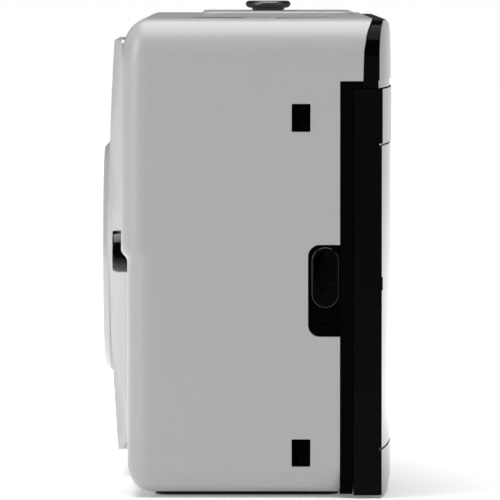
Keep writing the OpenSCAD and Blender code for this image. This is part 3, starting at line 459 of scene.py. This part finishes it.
def slot_hole(x, y, half_x, half_y, r, axis, low, high):
    return prism("hole", round_rect((x - half_x, y - half_y), (x + half_x, y + half_y), r), axis, low, high)


top_cuts = [hole(crank_x, crank_y, 9.3, "z", 58.6, 80, 128),
            hole(crank_x, crank_y, 2.2, "z", 50, 80),
            hole(button_x, button_y, 4.3, "z", 60.8, 80, 96),
            hole(button_x, button_y, 1.52, "z", 50, 80),
            slot_hole(count_x, count_y, 2.6, 1.9, 0.5, "z", 50, 80)]
end_cuts = [prism("plate", round_rect((8.25, 20.65), (14.0, 32.45), 1.5, 8), "x", 54, 60),
            prism("wheel", [(-12.2, 42.4), (-6.4, 42.4), (-6.4, 50.6), (-12.2, 50.6)], "x", -60, -54)]
front_cuts = [hole(0, lens_z, (ring_hi[0] - ring_lo[0]) / 2 + 0.1, "y", -30, 0, 128),
              slot_hole(flash_x, flash_z, 11, 3.6, 0.6, "y", -30, 0),
              slot_hole(finder_x, finder_z, 6.5, 3.5, 0.6, "y", -30, 0),
              hole(switch_x, switch_z, 2.92, "y", -30, 0)]
base_cuts = [prism("battery", [(16.2, -12), (28.2, -12), (28.2, -0.9), (16.2, -0.9)], "z", -2, 3),
             hole(0, 4, 4.9, "z", -2, 3),
             hole(release_x, release_y, 2.15, "z", -2, 3)]
cut(shell, *top_cuts, *end_cuts, *front_cuts, *base_cuts)
finish_piece(shell, "front_shell_skin", "front_shell")
soften(shell, 0.1, segments=2, angle=40)
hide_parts("front_shell")

# ---------------------------------------------------------------- latch knob and shutter button
def round_over(obj, chosen, width, segments=5):
    """Round the edges whose two ends both satisfy chosen(x, y, z), in mm."""
    bm = bmesh.new()
    bm.from_mesh(obj.data)
    edges = [e for e in bm.edges if all(chosen(*(c / MM for c in v.co)) for v in e.verts)]
    bmesh.ops.bevel(bm, geom=edges, offset=width * MM, segments=segments, profile=0.5, affect="EDGES")
    bm.to_mesh(obj.data)
    bm.free()
    return obj


def block(name, low, high):
    outline = [(low[0], low[1]), (high[0], low[1]), (high[0], high[1]), (low[0], high[1])]
    return prism(name, outline, "z", low[2], high[2])


knob_lo, knob_hi = at("latch_knob")
SKIRT_PAST_KNOB = 1.4
KNOB_HEIGHT = 7.9
knob_y = (knob_lo[1] + knob_hi[1]) / 2
knob_r = (knob_hi[1] - knob_lo[1]) / 2
knob_face = knob_hi[0]
knob_top = knob_hi[2] - SKIRT_PAST_KNOB
knob_base = knob_top - KNOB_HEIGHT
stadium = round_rect((knob_y - knob_r, knob_base), (knob_y + knob_r, knob_top), knob_r - 0.001, 20)
knob = prism("knob", stadium, "x", knob_face - 0.45, knob_face)
round_over(knob, lambda x, y, z: x > knob_face - 0.01, 0.3)
recess = round_rect((knob_y - knob_r + 0.45, knob_base + 3.2), (knob_y + knob_r - 0.45, knob_top - 1.2), 0.4)
cut(knob, prism("recess", recess, "x", knob_face - 0.25, knob_face + 1))
# arrow that shows which way the door opens
turn = math.radians(50)
tail_y, tail_z = knob_y - 0.45, knob_base + 4.05
arrow = [(0, 0), (0.75, 0.42), (0.75, 0.14), (2.5, 0.14), (2.5, -0.14), (0.75, -0.14), (0.75, -0.42)]
arrow = [(tail_y + u * math.cos(turn) - v * math.sin(turn), tail_z + u * math.sin(turn) + v * math.cos(turn))
         for u, v in arrow]
cut(knob, prism("arrow", arrow, "x", knob_face - 0.35, knob_face - 0.08), how="UNION")
arm = block("arm", (knob_lo[0], knob_y - 0.8, knob_base + 1.3),
            (knob_face - 0.3, knob_y + 0.8, knob_top - 2.2))
skirt = block("skirt", (knob_lo[0] + 0.1, knob_lo[1] + 0.535, knob_lo[2]),
              (knob_lo[0] + 0.9, knob_hi[1] - 0.535, knob_hi[2]))
cut(knob, arm, skirt, how="UNION")
finish_piece(knob, "latch_knob_skin", "latch_knob")
soften(knob, 0.04, angle=40)
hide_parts("latch_knob")

button_lo, button_hi = at("shutter_button")
button_r = (button_hi[0] - button_lo[0]) / 2
low, high = button_lo[2], button_hi[2]
underside = [(0, low - 0.45), (2.1, low - 0.45), (2.4, low), (button_r - 0.5, low)]
rim = [(button_r - 0.14, low + 0.18), (button_r, low + 0.42), (button_r, low + 0.55),
       (button_r - 0.05, low + 0.72), (button_r - 0.2, high - 0.1), (button_r - 0.45, high)]
dish = [(button_r - 0.9, high - 0.02), (button_r - 1.3, high - 0.1), (0, high - 0.2)]
button = lathe("button", underside + rim + dish, (button_x, button_y, 0))
finish_piece(button, "shutter_button_skin", "shutter_button", 40)
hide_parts("shutter_button")

# ---------------------------------------------------------------- lip over the film door
cover_lo, cover_hi = at("rear_top_cover")
door_top = at("film_door")[1][2]
LIP_FRONT = 14.2
CROWN_RUN = 26
CROWN_DROP = 1.95
crown_r = (CROWN_RUN ** 2 + CROWN_DROP ** 2) / (2 * CROWN_DROP)


def crown(x, rear):
    """Depth of the cover's rear face at x: flat in the middle, curving forward towards both ends."""
    over = max(0.0, abs(x) - (cover_hi[0] - CROWN_RUN))
    return rear - (crown_r - math.sqrt(crown_r ** 2 - over ** 2))


lip_x = [float(x) for x in np.linspace(cover_lo[0] + 2.5, cover_hi[0] - 0.15, 60)]
lip_outline = [(x, crown(x, cover_hi[1] - 0.2)) for x in lip_x]
lip_outline = [(lip_x[0], LIP_FRONT)] + lip_outline + [(lip_x[-1], LIP_FRONT)]
lip = prism("lip", lip_outline, "z", door_top + 0.12, cover_lo[2] + 0.05)
finish_piece(lip, "cover_lip", "rear_top_cover")

# ---------------------------------------------------------------- the CAD nodes
COILS = {"battery_spring", "latch_spring", "shutter_spring"}
CROWNED = {"film_door", "rear_top_cover"}
for name, obj in nodes.items():
    dress(obj, M[slot_of[name]])
    size = min(b - a for a, b in zip(*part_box(name))) / MM
    if name in CROWNED:
        obj.data.set_sharp_from_angle(angle=math.radians(25))
    elif name not in COILS:
        soften(obj, min(0.12, size * 0.08))
dress(nodes["flash_window"], M["flash_ribbed"])

# ---------------------------------------------------------------- the springs of the latch, shutter and pressure-plate joints get meshes of their own
joints = {j["name"]: j for j in frame["record"]["behaviour"]["joints"]}
for joint_name in ("latch_slide", "shutter_press", "pressure_plate_float"):
    joint = joints[joint_name]
    for spring in joint["deforming_nodes"]:
        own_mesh(nodes[spring["node"]])

# ---------------------------------------------------------------- stage, camera and light
def paper():
    """Pale floor that glows softly away from the object, so the background goes white like a studio sweep."""
    mat = material("floor_paper", (0.9, 0.9, 0.9), 0.75, grain=0.05, grain_size=3, mottle=0.004, spec=0.2)
    tree = mat.node_tree
    where = tree.nodes.new("ShaderNodeTexCoord")
    far = tree.nodes.new("ShaderNodeVectorMath")
    far.operation = "DISTANCE"
    far.inputs[1].default_value = (0.6, 0, 0)
    fade = tree.nodes.new("ShaderNodeMapRange")
    fade.interpolation_type = "SMOOTHSTEP"
    fade.inputs["From Min"].default_value = 0.46
    fade.inputs["From Max"].default_value = 0.76
    fade.inputs["To Min"].default_value = 0.0
    fade.inputs["To Max"].default_value = 0.95
    tree.links.new(where.outputs["Object"], far.inputs[0])
    tree.links.new(far.outputs["Value"], fade.inputs["Value"])
    shader = tree.nodes["Principled BSDF"]
    shader.inputs["Emission Color"].default_value = (1, 1, 1, 1)
    tree.links.new(fade.outputs["Result"], shader.inputs["Emission Strength"])
    return mat


reach = 40
floor_mesh = bpy.data.meshes.new("floor")
floor_mesh.from_pydata([(-reach, -reach, 0), (reach, -reach, 0), (reach, reach, 0), (-reach, reach, 0)], [],
                       [(0, 1, 2, 3)])
floor = new_object("floor", floor_mesh)
floor.location.z = -0.0001
dress(floor, paper())
floor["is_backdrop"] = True

cam_data = bpy.data.cameras.new("camera")
cam_data.lens = 450
cam_data.sensor_width = 36
cam_data.clip_start = 0.05
cam_data.clip_end = 50
camera = bpy.data.objects.new("camera", cam_data)
lo, hi = start_bounds
tilt = math.radians(2.6)
aim = Vector((hi.x, lo.y + 19.82 * MM, 31.8 * MM))
back = Vector((math.cos(tilt), 0, math.sin(tilt)))
camera.location = aim + back * 0.8
camera.rotation_mode = "QUATERNION"
camera.rotation_quaternion = back.to_track_quat("Z", "Y")
bpy.context.scene.collection.objects.link(camera)
bpy.context.scene.camera = camera


def area_light(name, where, target, size, power, color=(1, 1, 1)):
    data = bpy.data.lights.new(name, "AREA")
    data.shape = "RECTANGLE"
    data.size, data.size_y = size
    data.energy = power
    data.color = color
    light = bpy.data.objects.new(name, data)
    light.location = where
    light.rotation_mode = "QUATERNION"
    light.rotation_quaternion = (Vector(where) - Vector(target)).to_track_quat("Z", "Y")
    bpy.context.scene.collection.objects.link(light)
    return light


middle = (0, 0, 0.03)
area_light("key_top", (0.1, 0, 0.8), middle, (0.85, 0.9), 9.2)
area_light("left_front", (0.45, -0.75, 0.35), middle, (0.4, 0.6), 3.2)
area_light("right_rear", (0.4, 0.75, 0.3), middle, (0.3, 0.5), 0.8)

world = bpy.data.worlds.new("studio")
world.use_nodes = True
world.node_tree.nodes["Background"].inputs["Color"].default_value = (1, 1, 1, 1)
world.node_tree.nodes["Background"].inputs["Strength"].default_value = 0.05
scene = bpy.context.scene
scene.world = world
scene.view_settings.view_transform = "Standard"
scene.view_settings.look = "None"

lo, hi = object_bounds()
